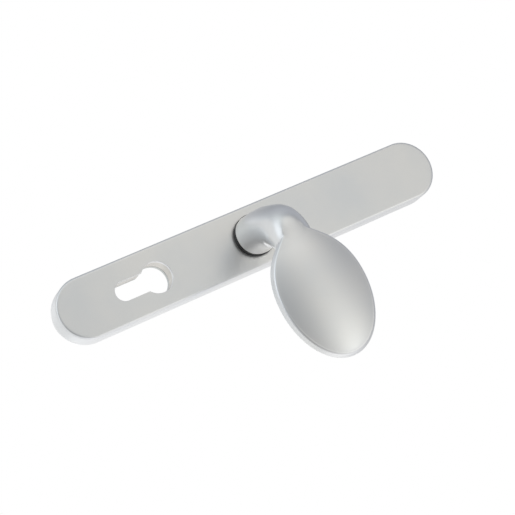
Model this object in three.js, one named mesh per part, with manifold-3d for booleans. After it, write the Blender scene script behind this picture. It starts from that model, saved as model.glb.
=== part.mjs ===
// Outside handle set for a narrow door stile: a long round-ended back plate with a
// euro-profile cylinder cut-out, and a cranked oval pad handle that turns in a collar.
//
// Drawing frame: x points across the door towards the pad, y up the plate and z out from
// the door face (z = 0). The spindle axis is the z axis. The set group at the end turns
// that frame upright, so that +Z is up and the front of the plate looks towards -Y.
// Units are millimetres.
import * as THREE from "three";
import { LoftGeometry } from "three/addons/geometries/LoftGeometry.js";
import { mergeVertices } from "three/addons/utils/BufferGeometryUtils.js";
import Module from "manifold-3d";

// ---- Driving dimensions -------------------------------------------------------------

// Fits
const SEAT = 0.3; // gap left between pieces that rest on or fit in each other
const RUN = 0.25; // radial gap of a turning fit

// Cover plate
const plateLength = 243;
const plateWidth = 35;
const plateDepth = 13;
const plateWall = 2;

// Euro-profile cut-out
const cylinderDistance = 62; // spindle axis to the centre of the round part
const cylinderRadius = 8.9;
const cylinderSlot = 10.95;
const cylinderHeight = 34.2;

// Mounting plate, fixing posts and screws
const mountThickness = 2.5;
const postCentres = 215;
const postRadius = 4;
const postReach = 12;
const postFlangeRadius = 5.5;
const postFlange = 1.5;
const postThreadRadius = 2.1;
const screwRadius = 1.5;
const screwHeadRadius = 2.8;
const screwHead = 1.4;
const screwDriveRadius = 1.2;
const screwDriveDepth = 0.9;
const bossRadius = 3.5;
const innerBossOffset = 38;
const outerBossInset = 24; // from the end of the plate

// Cylinder guard
const guardWall = 4.5;
const guardScrewRise = 8.3; // above the lower end of the cut-out

// Collar bush
const collarHeight = 2.7;
const collarLip = 1.2; // the collar's rim, outside its spigot
const spigotWall = 1.55;

// Handle
const journalRadius = 9;
const tailStep = 0.8; // the tail's radius is this much less than the journal's
const grooveDepth = 0.9;
const tailReach = 1.5; // behind the door face
const neckRim = 2.7; // the neck's base, outside the journal
const neckWaist = 1; // the bend, outside the journal
const padStandoff = 48.5; // plate face to the rim of the pad's face
const padCrown = 2.7;
const padRim = 5;
const padHalfWidth = 26;
const padWidestAt = 49;
const padTip = 85.6;

// Spindle and its grub screw
const spindleSide = 8;
const spindleDepth = 28; // into the handle, from the door face
const spindleReach = 47; // behind the door face
const grubRadius = 2.3;
const grubHeight = 23;

// Return spring and stops
const springWire = 1.4;
const driverShare = 19 / 46; // of the radial room, for the driver's hub
const housingShare = 16 / 46; // and for the housing's wall
const housingFloor = 1.1;
const housingCoverThickness = 1.2;
const housingEarHalf = 4;
const housingEarScrew = 4.2; // outside the housing's rim
const turnRange = 40; // degrees each way
const stopSlack = 1; // degrees past the range
const stopArmHalf = 10; // degrees
const stopBlockSpan = 22; // degrees
const stopLayer = 2.4;

// Washers and retaining ring
const thrustWasher = 0.5;
const waveWasher = 0.3;
const waveHeight = 0.2;
const ringThickness = 0.8;
const ringWidth = 2.3;
const ringGap = 40; // degrees

const lugFrom = 86; // degrees
const lugTo = 94;
const springEndGap = 9; // degrees each side of the lug, to the wire's centre
const housingGap = 0.5; // all round the housing, inside the cover
const grubDriveRadius = 1.3;
const grubDriveDepth = 2;
const grubInset = 1.2; // below the neck's skin
const coverScrewTip = 5.5; // into the cover's bosses
const guardScrewTip = 5;
const housingScrewTip = 3;
const earHeight = 4;

// ---- Places worked out from them ----------------------------------------------------

const plateEnd = plateLength / 2;
const pocketHalf = plateWidth / 2 - plateWall;
const pocketTop = plateDepth - plateWall;
const cutoutTop = cylinderRadius - cylinderDistance;
const cutoutBottom = cutoutTop - cylinderHeight;
const tailRadius = journalRadius - tailStep;
const spigotRadius = journalRadius + RUN + spigotWall;
const collarRadius = spigotRadius + collarLip;
const neckBaseRadius = journalRadius + neckRim;
const neckRadius = journalRadius + neckWaist;
const holeRadius = spigotRadius + SEAT;
const bossPlaces = [plateEnd - outerBossInset, innerBossOffset, -innerBossOffset, outerBossInset - plateEnd];
const coverBack = mountThickness + SEAT; // rear of what stands on the mounting plate
const housingBack = coverBack + housingCoverThickness + SEAT;
const housingFront = pocketTop - SEAT;
const housingRadius = pocketHalf - housingGap;
const radialRoom = housingRadius - journalRadius - springWire;
const driverWall = driverShare * radialRoom;
const housingWall = housingShare * radialRoom;
const cavityRadius = housingRadius - housingWall;
const cavityFront = housingFront - housingFloor;
const earScrewPlace = housingRadius + housingEarScrew;
const collarTop = plateDepth + SEAT + collarHeight;
const neckStart = collarTop + SEAT;
const journalFlat = tailRadius + SEAT; // axis to each flat of the drive tenon
const driverRadius = journalRadius + driverWall;
const driverFront = cavityFront - SEAT;
const springRadius = (driverRadius + cavityRadius) / 2;
const socketHalf = spindleSide / 2 + SEAT;
const padFace = plateDepth + padStandoff;
const washerBore = tailRadius + SEAT;
const washerRadius = tailRadius + ringWidth;
const ringBack = coverBack - 2 * SEAT - thrustWasher - 2 * waveHeight - waveWasher - SEAT - ringThickness;

const ARC = 12; // segments per half turn of a round
const SMALL_ARC = 6; // and of a screw
const rad = THREE.MathUtils.degToRad;

// ---- Solids -------------------------------------------------------------------------

const wasm = await Module();
wasm.setup();

// A closed three.js geometry as a manifold solid.
function solid(geometry) {
  const bare = new THREE.BufferGeometry();
  bare.setAttribute("position", geometry.getAttribute("position"));
  bare.setIndex(geometry.index);
  const merged = mergeVertices(bare, 1e-4);
  const index = merged.index.array;
  const kept = [];
  for (let i = 0; i < index.length; i += 3) {
    const [a, b, c] = index.slice(i, i + 3);
    if (a !== b && b !== c && c !== a) kept.push(a, b, c);
  }
  return new wasm.Manifold(
    new wasm.Mesh({
      numProp: 3,
      vertProperties: merged.attributes.position.array,
      triVerts: new Uint32Array(kept),
    }),
  );
}

// A flat outline made solid from depth z0 to depth z1.
function slab(shape, z0, z1, arc = ARC) {
  const geometry = new THREE.ExtrudeGeometry(shape, {
    depth: z1 - z0,
    bevelEnabled: false,
    curveSegments: arc,
  });
  return solid(geometry.translate(0, 0, z0));
}

// A round solid along z, which may taper from radius r0 to r1.
function round(r0, r1, z0, z1, x = 0, y = 0, arc = ARC) {
  const geometry = new THREE.CylinderGeometry(r1, r0, z1 - z0, 2 * arc);
  geometry.rotateX(Math.PI / 2);
  return solid(geometry.translate(x, y, (z0 + z1) / 2));
}

function circle(radius, x = 0, y = 0) {
  const shape = new THREE.Shape();
  shape.absarc(x, y, radius, 0, 2 * Math.PI, false);
  return shape;
}

// A round-ended outline from y = low to y = high.
function stadium(half, low, high) {
  const shape = new THREE.Shape();
  shape.absarc(0, high - half, half, 0, Math.PI, false);
  shape.absarc(0, low + half, half, Math.PI, 2 * Math.PI, false);
  shape.closePath();
  return shape;
}

// The euro-profile cut-out, grown all round by a clearance.
function cutout(grow = 0) {
  const radius = cylinderRadius + grow;
  const half = cylinderSlot / 2 + grow;
  const meet = Math.asin(half / radius);
  const shape = new THREE.Shape();
  shape.absarc(0, -cylinderDistance, radius, meet - Math.PI / 2, 1.5 * Math.PI - meet, false);
  shape.absarc(0, cutoutBottom - grow + half, half, Math.PI, 2 * Math.PI, false);
  shape.closePath();
  return shape;
}

// A ring sector between two radii and two angles in degrees.
function sector(inner, outer, from, to) {
  const shape = new THREE.Shape();
  shape.absarc(0, 0, outer, rad(from), rad(to), false);
  shape.absarc(0, 0, inner, rad(to), rad(from), true);
  shape.closePath();
  return shape;
}

// A disc with two flats at y = +-flat.
function doubleD(radius, flat) {
  const edge = Math.asin(flat / radius);
  const shape = new THREE.Shape();
  shape.absarc(0, 0, radius, -edge, edge, false);
  shape.absarc(0, 0, radius, Math.PI - edge, Math.PI + edge, false);
  shape.closePath();
  return shape;
}

function ring(outer, inner) {
  const shape = circle(outer);
  shape.holes.push(circle(inner));
  return shape;
}

// ---- Materials and meshes -----------------------------------------------------------

const satinAluminium = new THREE.MeshStandardMaterial({ color: 0xc4c6c6, roughness: 0.38, metalness: 1 });
const blackAcetal = new THREE.MeshStandardMaterial({ color: 0x16171a, roughness: 0.45, metalness: 0 });
const zincSteel = new THREE.MeshStandardMaterial({ color: 0xb3b6ba, roughness: 0.45, metalness: 1 });
const dieCastZinc = new THREE.MeshStandardMaterial({ color: 0x9a9da1, roughness: 0.55, metalness: 1 });
const hardenedSteel = new THREE.MeshStandardMaterial({ color: 0x6f7276, roughness: 0.5, metalness: 1 });
const springSteel = new THREE.MeshStandardMaterial({ color: 0x84878c, roughness: 0.3, metalness: 1 });

// A named mesh of a manifold solid.
function piece(name, material, body) {
  const made = body.getMesh();
  const geometry = new THREE.BufferGeometry();
  geometry.setAttribute("position", new THREE.BufferAttribute(made.vertProperties, 3));
  geometry.setIndex(new THREE.BufferAttribute(made.triVerts, 1));
  geometry.computeVertexNormals();
  const mesh = new THREE.Mesh(geometry, material);
  mesh.name = name;
  return mesh;
}

// ---- Back plate ---------------------------------------------------------------------

// Screws that pass through the mounting plate from behind: name, place and tip depth.
const coverScrews = bossPlaces.map((y, i) => ({
  name: "cover_screw_" + (i + 1),
  x: 0,
  y,
  tip: coverBack + coverScrewTip,
}));
const guardScrews = [-1, 1].map((side) => ({
  name: side < 0 ? "guard_screw_left" : "guard_screw_right",
  x: side * (cylinderSlot / 2 + SEAT + (guardWall + cylinderRadius - cylinderSlot / 2) / 2),
  y: cutoutBottom + guardScrewRise,
  tip: coverBack + guardScrewTip,
}));
const housingScrews = [-1, 1].map((side) => ({
  name: side < 0 ? "housing_screw_lower" : "housing_screw_upper",
  x: 0,
  y: side * earScrewPlace,
  tip: housingBack + housingScrewTip,
}));
const screws = [...coverScrews, ...guardScrews, ...housingScrews];

// The blind or through hole that a screw's shank needs.
function screwHole(screw, z0, z1) {
  return round(screwRadius + SEAT, screwRadius + SEAT, z0, z1, screw.x, screw.y, SMALL_ARC);
}

function coverPlate() {
  const front = stadium(plateWidth / 2, -plateEnd, plateEnd);
  front.holes.push(cutout(), circle(holeRadius));
  let plate = slab(front, 0, plateDepth);
  plate = plate.subtract(slab(stadium(pocketHalf, plateWall - plateEnd, plateEnd - plateWall), -1, pocketTop));
  for (const screw of coverScrews) {
    plate = plate.add(round(bossRadius, bossRadius, coverBack, pocketTop + plateWall / 2, 0, screw.y, 8));
    plate = plate.subtract(screwHole(screw, 0, screw.tip + SEAT));
  }
  return piece("cover_plate", satinAluminium, plate);
}

function mountingPlate() {
  const gap = plateWall + SEAT;
  const outline = stadium(pocketHalf - SEAT, gap - plateEnd, plateEnd - gap);
  outline.holes.push(cutout(SEAT), circle(washerRadius + SEAT));
  for (const side of [-1, 1]) outline.holes.push(circle(postRadius + SEAT, 0, (side * postCentres) / 2));
  let plate = slab(outline, 0, mountThickness);
  for (const screw of screws) {
    plate = plate.subtract(screwHole(screw, -1, mountThickness + 1));
    plate = plate.subtract(
      round(screwHeadRadius + SEAT, screwRadius + SEAT, 0, screwHead + SEAT, screw.x, screw.y, SMALL_ARC),
    );
  }
  return piece("mounting_plate", zincSteel, plate);
}

// A countersunk screw, its flat head just inside the rear of the mounting plate.
function countersunkScrew(screw) {
  const { name, x, y, tip } = screw;
  const head = round(screwHeadRadius, screwRadius, SEAT / 2, screwHead, x, y, SMALL_ARC);
  const shank = round(screwRadius, screwRadius, screwHead / 2, tip, x, y, SMALL_ARC);
  const drive = round(screwDriveRadius, screwDriveRadius, 0, screwDriveDepth, x, y, 3);
  return piece(name, zincSteel, head.add(shank).subtract(drive));
}

function fixingPost(name, y) {
  const shank = round(postRadius, postRadius, -postReach, coverBack + 1, 0, y);
  const flange = round(postFlangeRadius, postFlangeRadius, coverBack, coverBack + postFlange, 0, y);
  const thread = round(postThreadRadius, postThreadRadius, -postReach - 1, 0, 0, y, 8);
  return piece(name, zincSteel, shank.add(flange).subtract(thread));
}

function collarBush() {
  const flange = slab(ring(collarRadius, journalRadius + RUN), plateDepth + SEAT, collarTop);
  const spigot = slab(ring(spigotRadius, journalRadius + RUN), cavityFront, plateDepth + SEAT + 1);
  return piece("collar_bush", blackAcetal, flange.add(spigot));
}

function cylinderGuard() {
  const half = cylinderRadius + SEAT + guardWall;
  const outline = stadium(half, cutoutBottom - SEAT - guardWall, cutoutTop + SEAT + guardWall);
  outline.holes.push(cutout(SEAT));
  let guard = slab(outline, coverBack, housingFront);
  for (const screw of guardScrews) guard = guard.subtract(screwHole(screw, 0, screw.tip + SEAT));
  return piece("cylinder_guard", hardenedSteel, guard);
}

// The housing's outline: a round case with an ear above and below for its screws.
function housingBody(z0, z1, earTop) {
  const reach = earScrewPlace + housingEarHalf;
  const ears = slab(stadium(housingEarHalf, -reach, reach), z0, earTop, SMALL_ARC);
  return round(housingRadius, housingRadius, z0, z1).add(ears);
}

function springHousing() {
  let housing = housingBody(housingBack, housingFront, housingBack + earHeight);
  housing = housing.subtract(round(cavityRadius, cavityRadius, housingBack - 1, cavityFront));
  housing = housing.subtract(round(holeRadius, holeRadius, cavityFront - 1, housingFront + 1));
  const stopFace = 270 - stopArmHalf - turnRange - stopSlack;
  const stopInner = (driverRadius + cavityRadius) / 2;
  for (const start of [stopFace - stopBlockSpan, 540 - stopFace]) {
    const block = sector(stopInner, cavityRadius + housingWall / 2, start, start + stopBlockSpan);
    housing = housing.add(slab(block, housingBack, housingBack + stopLayer, 6));
  }
  const anchor = sector(springRadius + SEAT / 2, cavityRadius + housingWall / 2, lugFrom, lugTo);
  housing = housing.add(slab(anchor, driverFront - springWire - SEAT, cavityFront + housingFloor / 2, 4));
  for (const screw of housingScrews) housing = housing.subtract(screwHole(screw, 0, screw.tip + SEAT));
  return piece("spring_housing", dieCastZinc, housing);
}

function housingCover() {
  let cover = housingBody(coverBack, coverBack + housingCoverThickness, coverBack + housingCoverThickness);
  cover = cover.subtract(round(washerBore, washerBore, 0, housingBack));
  for (const screw of housingScrews) cover = cover.subtract(screwHole(screw, 0, housingBack));
  return piece("spring_housing_cover", zincSteel, cover);
}

// ---- Handle -------------------------------------------------------------------------

// The neck: a round bar that leaves the collar, leans over and runs into the pad's back.
// Each station is the bar's centre (x, z), its lean in degrees and its half sizes across
// and through the bend.
function neckBar() {
  const bend = padFace - neckRadius;
  const stations = [
    { x: 0, z: neckStart, lean: 0, across: neckBaseRadius, through: neckBaseRadius },
    { x: 0.6, z: bend - 27, lean: 8, across: neckBaseRadius - 0.2, through: neckBaseRadius - 0.4 },
    { x: 2, z: bend - 17.5, lean: 18, across: neckBaseRadius - 0.2, through: neckRadius + 1.3 },
    { x: 4, z: bend - 10, lean: 30, across: neckBaseRadius - 0.1, through: neckRadius + 1.6 },
    { x: 6.2, z: bend - 5, lean: 45, across: neckBaseRadius, through: neckRadius + 2.2 },
    { x: 8.6, z: bend - 1.5, lean: 62, across: neckBaseRadius + 0.1, through: neckRadius + 1.3 },
    { x: 11.8, z: bend + 1, lean: 76, across: neckBaseRadius + 0.2, through: neckRadius - 0.2 },
    { x: 16, z: bend + 3.4, lean: 84, across: neckBaseRadius - 0.3, through: neckRadius - 2.2 },
    { x: 23, z: bend + 5, lean: 87, across: neckRadius - 0.3, through: neckRadius - 4.8 },
    { x: 31, z: bend + 6.2, lean: 90, across: neckRadius - 5, through: neckRadius - 7.6 },
  ];
  const sides = 32;
  const sections = stations.map(({ x, z, lean, across, through }) => {
    const section = [];
    for (let i = 0; i < sides; i++) {
      const turn = (2 * Math.PI * i) / sides;
      const off = through * Math.cos(turn);
      section.push(
        new THREE.Vector3(
          x + off * Math.cos(rad(lean)),
          across * Math.sin(turn),
          z - off * Math.sin(rad(lean)),
        ),
      );
    }
    return section;
  });
  const bar = solid(new LoftGeometry(sections, { capStart: true, capEnd: true }));
  return bar.subtract(slab(stadium(2 * neckRadius, -4 * neckRadius, 4 * neckRadius), padFace, padFace + 40, 4));
}

// Half the pad's width at stations from the tongue to the tip: a flank that swells out
// of the neck, then a quarter ellipse.
function padStations() {
  const flank = new THREE.CubicBezierCurve(
    new THREE.Vector2(12, 5),
    new THREE.Vector2(17, 6.5),
    new THREE.Vector2(21.5, padHalfWidth),
    new THREE.Vector2(padWidestAt, padHalfWidth),
  );
  const stations = flank.getPoints(10).map((p) => ({ x: p.x, half: p.y }));
  const steps = 12;
  for (let i = 1; i <= steps; i++) {
    const turn = (0.98 * Math.PI * i) / (2 * steps);
    stations.push({
      x: padWidestAt + (padTip - padWidestAt) * Math.sin(turn),
      half: padHalfWidth * Math.cos(turn),
    });
  }
  return stations;
}

// The pad: a crowned face with a crisp rim, a straight edge and a flat back.
function padPlate() {
  const across = 12;
  const sections = padStations().map(({ x, half }) => {
    const crown = padCrown * Math.pow(half / padHalfWidth, 1.5);
    const section = [];
    for (let i = 0; i <= across; i++) {
      const y = 1 - (2 * i) / across;
      section.push(new THREE.Vector3(x, half * y, padFace + crown * (1 - y * y)));
    }
    section.push(new THREE.Vector3(x, -half, padFace - padRim));
    section.push(new THREE.Vector3(x, half, padFace - padRim));
    return section;
  });
  return solid(new LoftGeometry(sections, { capStart: true, capEnd: true }));
}

function padHandle() {
  let handle = neckBar().add(padPlate());
  handle = handle.add(round(journalRadius, journalRadius, driverFront + SEAT, neckStart + 1));
  handle = handle.add(slab(doubleD(journalRadius, journalFlat), housingBack, driverFront + 2 * SEAT));
  handle = handle.add(round(tailRadius, tailRadius, -tailReach, housingBack + 1));
  const groove = ring(tailRadius + 1, tailRadius - grooveDepth);
  handle = handle.subtract(slab(groove, ringBack - SEAT, ringBack + ringThickness + SEAT));
  const socket = new THREE.BoxGeometry(2 * socketHalf, 2 * socketHalf, spindleDepth + tailReach + 1);
  socket.translate(0, 0, (spindleDepth - tailReach - 1) / 2);
  const tapping = new THREE.CylinderGeometry(grubRadius + SEAT, grubRadius + SEAT, neckBaseRadius + 3, 24);
  tapping.translate(0, (neckBaseRadius + 3) / 2, grubHeight);
  handle = handle.subtract(solid(socket)).subtract(solid(tapping));
  return piece("pad_handle", satinAluminium, handle);
}

function spindle() {
  const length = spindleDepth - SEAT + spindleReach;
  const bar = new THREE.BoxGeometry(spindleSide, spindleSide, length);
  bar.translate(0, 0, spindleDepth - SEAT - length / 2);
  return piece("spindle", zincSteel, solid(bar));
}

function grubScrew() {
  const start = spindleSide / 2 + SEAT;
  const end = neckBaseRadius - grubInset;
  const body = new THREE.CylinderGeometry(grubRadius, grubRadius, end - start, 24);
  body.translate(0, (start + end) / 2, grubHeight);
  const drive = new THREE.CylinderGeometry(grubDriveRadius, grubDriveRadius, 2 * grubDriveDepth, 6);
  drive.translate(0, end, grubHeight);
  return piece("spindle_grub_screw", zincSteel, solid(body).subtract(solid(drive)));
}

// The driver turns with the tenon. Its lug works the spring and its arm meets the stops.
function springDriver() {
  const hub = circle(driverRadius);
  hub.holes.push(doubleD(journalRadius + SEAT, journalFlat + SEAT));
  const armReach = cavityRadius - SEAT;
  const arm = sector(journalRadius + 1, armReach, 270 - stopArmHalf, 270 + stopArmHalf);
  const lug = sector(journalRadius + 1, springRadius - SEAT / 2, lugFrom, lugTo);
  const back = housingBack + SEAT;
  let driver = slab(hub, back, driverFront);
  driver = driver.add(slab(arm, back, housingBack + stopLayer, 6));
  driver = driver.add(slab(lug, driverFront - springWire - SEAT, driverFront, 4));
  return piece("spring_driver", zincSteel, driver);
}

// The line of an open ring, between two angles in degrees.
class OpenRing extends THREE.Curve {
  constructor(radius, from, to) {
    super();
    Object.assign(this, { radius, from, to });
  }
  getPoint(t, target = new THREE.Vector3()) {
    const turn = rad(this.from + (this.to - this.from) * t);
    return target.set(this.radius * Math.cos(turn), this.radius * Math.sin(turn), 0);
  }
}

// A solid swept round part of a turn, from a section drawn by its half sizes.
function openRing(radius, wire, from, to, z, steps) {
  const geometry = new THREE.ExtrudeGeometry(circle(wire / 2), {
    steps,
    curveSegments: 4,
    extrudePath: new OpenRing(radius, from, to),
  });
  return solid(geometry.translate(0, 0, z));
}

// The return spring: one open turn of wire whose ends stand on each side of the lug.
function returnSpring() {
  const opposite = (lugFrom + lugTo) / 2;
  const level = driverFront - springWire / 2 - SEAT / 2;
  return piece(
    "return_spring",
    springSteel,
    openRing(springRadius, springWire, opposite + springEndGap, opposite + 360 - springEndGap, level, 32),
  );
}

function retainingRing() {
  const open = sector(tailRadius - grooveDepth + SEAT, tailRadius + ringWidth, ringGap / 2, 360 - ringGap / 2);
  return piece("retaining_ring", springSteel, slab(open, ringBack, ringBack + ringThickness));
}

function thrustWasherPiece() {
  const top = coverBack - SEAT;
  return piece("thrust_washer", blackAcetal, slab(ring(washerRadius, washerBore), top - thrustWasher, top));
}

// A thin ring with three waves round it.
function waveWasherPiece() {
  const middle = ringBack + ringThickness + SEAT + waveHeight + waveWasher / 2;
  const steps = 36;
  const sections = [];
  for (let i = 0; i <= steps; i++) {
    const turn = (2 * Math.PI * i) / steps;
    const rise = middle + waveHeight * Math.sin(3 * turn);
    const at = (radius, z) => new THREE.Vector3(radius * Math.cos(turn), radius * Math.sin(turn), z);
    sections.push([
      at(washerBore, rise - waveWasher / 2),
      at(washerBore, rise + waveWasher / 2),
      at(washerRadius, rise + waveWasher / 2),
      at(washerRadius, rise - waveWasher / 2),
    ]);
  }
  return piece("wave_washer", springSteel, solid(new LoftGeometry(sections)));
}

// ---- The set ------------------------------------------------------------------------

const backplate = new THREE.Group();
backplate.add(
  coverPlate(),
  mountingPlate(),
  fixingPost("upper_fixing_post", postCentres / 2),
  fixingPost("lower_fixing_post", -postCentres / 2),
  collarBush(),
  cylinderGuard(),
  springHousing(),
  housingCover(),
  ...screws.map(countersunkScrew),
);

const handle = new THREE.Group();
handle.add(
  padHandle(),
  spindle(),
  grubScrew(),
  springDriver(),
  returnSpring(),
  retainingRing(),
  thrustWasherPiece(),
  waveWasherPiece(),
);

const handleSet = new THREE.Group();
handleSet.add(backplate, handle);
handleSet.rotation.x = Math.PI / 2;

export default handleSet;
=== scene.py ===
# %% [markdown]
# # An outside pad handle set for a euro-profile lock
#
# The set is a long, round-ended backplate with an empty cylinder cut-out, and a cranked
# oval pad handle that turns in a black collar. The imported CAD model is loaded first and
# used as a fixed frame: every fine piece below is built where its CAD node lies.

# %% Load the frame
from math import asin, atan2, cos, degrees, pi, radians, sin

import bmesh
import bpy
from mathutils import Matrix, Vector


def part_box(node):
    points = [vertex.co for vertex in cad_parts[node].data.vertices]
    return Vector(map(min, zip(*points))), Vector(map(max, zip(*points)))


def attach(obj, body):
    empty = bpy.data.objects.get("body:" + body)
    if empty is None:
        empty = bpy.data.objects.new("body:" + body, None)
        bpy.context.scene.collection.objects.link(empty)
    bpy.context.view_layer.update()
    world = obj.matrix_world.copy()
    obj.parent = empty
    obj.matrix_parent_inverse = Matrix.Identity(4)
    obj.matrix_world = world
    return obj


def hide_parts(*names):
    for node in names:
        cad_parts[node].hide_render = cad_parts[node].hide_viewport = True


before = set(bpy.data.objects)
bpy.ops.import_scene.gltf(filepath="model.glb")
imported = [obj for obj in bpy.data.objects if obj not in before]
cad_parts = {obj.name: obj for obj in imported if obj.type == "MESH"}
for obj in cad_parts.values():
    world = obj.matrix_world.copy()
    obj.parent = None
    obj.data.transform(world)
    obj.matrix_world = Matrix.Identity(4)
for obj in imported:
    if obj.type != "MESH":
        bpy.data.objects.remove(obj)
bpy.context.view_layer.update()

# %% [markdown]
# The pieces are modelled in millimetres and brought to metres when they are finished.
# X points across the door to the pad, Y into the door and Z up the plate. A depth is
# written as its distance out from the door face, which is minus Y.

# %% Sizes read from the frame
MM = 0.001


def extent(node):
    """Lowest and highest corner of a CAD node, in millimetres."""
    low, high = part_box(node)
    return low / MM, high / MM


plate_low, plate_high = extent("cover_plate")
PLATE_HALF = plate_high.x
PLATE_REACH = plate_high.z
PLATE_DEPTH = -plate_low.y
PLATE_WALL = 2.0
mount_low, mount_high = extent("mounting_plate")
MOUNT_DEPTH = -mount_low.y
collar_low, collar_high = extent("collar_bush")
COLLAR_RADIUS = collar_high.x
COLLAR_TOP = -collar_low.y
guard_low, guard_high = extent("cylinder_guard")
handle_high = extent("pad_handle")[1]
TAIL_END = -handle_high.y
PAD_TIP = handle_high.x
PAD_HALF = handle_high.z
SEAT = 0.3
print("plate", [round(size, 1) for size in (2 * PLATE_REACH, 2 * PLATE_HALF, PLATE_DEPTH)], "mm")
print("pad tip", round(PAD_TIP, 1), "mm from the spindle, half width", round(PAD_HALF, 1), "mm")

# %% Sizes of the cut-out and the turning parts
CYLINDER_DISTANCE = 62.0
CYLINDER_RADIUS = 8.9
CYLINDER_SLOT = 10.95
CYLINDER_HEIGHT = 34.2
CUTOUT_TOP = CYLINDER_RADIUS - CYLINDER_DISTANCE
CUTOUT_BOTTOM = CUTOUT_TOP - CYLINDER_HEIGHT
SPIGOT_RADIUS = 10.8
JOURNAL_RADIUS = 9.0
TAIL_RADIUS = 8.2
NECK_BASE = 11.7
NECK_START = COLLAR_TOP + SEAT
PAD_FACE = PLATE_DEPTH + 48.5
PAD_RIM = 5.0
PAD_CROWN = 2.7
PAD_WIDEST = 49.0
SPINDLE_HALF = 4.0
print("cut-out from", round(CUTOUT_BOTTOM, 1), "to", round(CUTOUT_TOP, 1), "mm up the plate")

# %% [markdown]
# ## Finishes
#
# Every finish is built from nodes. A colour is written as the sRGB hex value that a
# picture editor shows, and one function turns it into the linear value that the
# renderer works in. One more small function adds a node with its settings and links.

# %% Colour and node helpers
def linear(hexcode):
    """An sRGB hex colour as linear RGBA."""
    channels = [int(hexcode[i : i + 2], 16) / 255 for i in (1, 3, 5)]
    low = [c / 12.92 for c in channels]
    high = [((c + 0.055) / 1.055) ** 2.4 for c in channels]
    return [a if c <= 0.04045 else b for a, b, c in zip(low, high, channels)] + [1.0]


def add(tree, kind, settings=None, **inputs):
    """Adds a node. Settings are its own options; inputs are values or output sockets."""
    node = tree.nodes.new(kind)
    for name, value in (settings or {}).items():
        setattr(node, name, value)
    for name, value in inputs.items():
        key = int(name[1:]) if name[0] == "_" else name.replace("_", " ")
        socket = node.inputs[key]
        if isinstance(value, bpy.types.NodeSocket):
            tree.links.new(value, socket)
        else:
            socket.default_value = value
    return node


def new_material(name):
    """An empty material with a Principled shader. Returns the material, tree and shader."""
    material = bpy.data.materials.new(name)
    material.use_nodes = True
    tree = material.node_tree
    tree.nodes.clear()
    shader = add(tree, "ShaderNodeBsdfPrincipled")
    add(tree, "ShaderNodeOutputMaterial", Surface=shader.outputs["BSDF"])
    return material, tree, shader


def noise(tree, place, size_mm, **inputs):
    """Noise whose features are about a size in millimetres."""
    return add(tree, "ShaderNodeTexNoise", Vector=place, Scale=1 / (size_mm * MM), **inputs).outputs["Fac"]


def mix(tree, factor, dark, light):
    """A colour between two hex colours."""
    return add(tree, "ShaderNodeMix", {"data_type": "RGBA"}, _0=factor, _6=linear(dark), _7=linear(light))


def dress(tree, shader, tint, gloss, relief):
    """Gives a shader its colour, its roughness and its relief."""
    tree.links.new(tint.outputs[2], shader.inputs["Base Color"])
    tree.links.new(gloss.outputs["Result"], shader.inputs["Roughness"])
    tree.links.new(relief.outputs["Normal"], shader.inputs["Normal"])


print("#808080 is", round(linear("#808080")[0], 3), "in linear light")

# %% [markdown]
# A blasted and anodised skin is not one even grey: the blasting leaves a fine grain, and
# the oxide is a little thicker or thinner over areas of a few centimetres. Two noise
# textures draw that, one for the grain and one for the clouds. Real grit marks are about
# 0.1 mm, too fine for a picture of a 240 mm plate, so they are drawn near 0.5 mm.

# %% A metal with grain and clouds
def blasted_metal(name, dark, light, rough, rough_spread, grain_mm, cloud_mm, bump_mm):
    """A satin metal: colour and gloss drift in clouds, and grain lifts the surface."""
    material, tree, shader = new_material(name)
    shader.inputs["Metallic"].default_value = 1.0
    place = add(tree, "ShaderNodeTexCoord").outputs["Object"]
    cloud = noise(tree, place, cloud_mm, Detail=3.0, Roughness=0.5)
    grain = noise(tree, place, grain_mm, Detail=2.0, Roughness=0.6)
    tone = add(tree, "ShaderNodeMapRange", Value=cloud, From_Min=0.3, From_Max=0.7)
    tint = mix(tree, tone.outputs["Result"], dark, light)
    gloss = add(
        tree, "ShaderNodeMapRange", Value=grain,
        From_Min=0.3, From_Max=0.7, To_Min=rough - rough_spread, To_Max=rough + rough_spread,
    )
    relief = add(tree, "ShaderNodeBump", Height=grain, Strength=0.35, Distance=bump_mm * MM)
    dress(tree, shader, tint, gloss, relief)
    return material


satin_aluminium = blasted_metal(
    "satin_silver_anodised_aluminium", "#E2E4E5", "#EDECE9",
    rough=0.30, rough_spread=0.02, grain_mm=0.5, cloud_mm=45, bump_mm=0.0012,
)
die_cast_zinc = blasted_metal(
    "as_cast_zinc_alloy", "#96999D", "#ABAEB1",
    rough=0.52, rough_spread=0.08, grain_mm=0.8, cloud_mm=9, bump_mm=0.03,
)
plated_steel = blasted_metal(
    "nickel_plated_hardened_steel", "#D2CFC8", "#DCD9D2",
    rough=0.34, rough_spread=0.05, grain_mm=0.6, cloud_mm=14, bump_mm=0.008,
)
print("blasted metals:", satin_aluminium.name, die_cast_zinc.name, plated_steel.name)

# %% [markdown]
# Zinc plate on rolled steel keeps the rolling lines under it, and its passivation drifts
# between a cold blue and a faint straw colour. The lines are noise stretched along the
# plate by a Mapping node. Drawn spring wire has the same lines but no plating.

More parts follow.
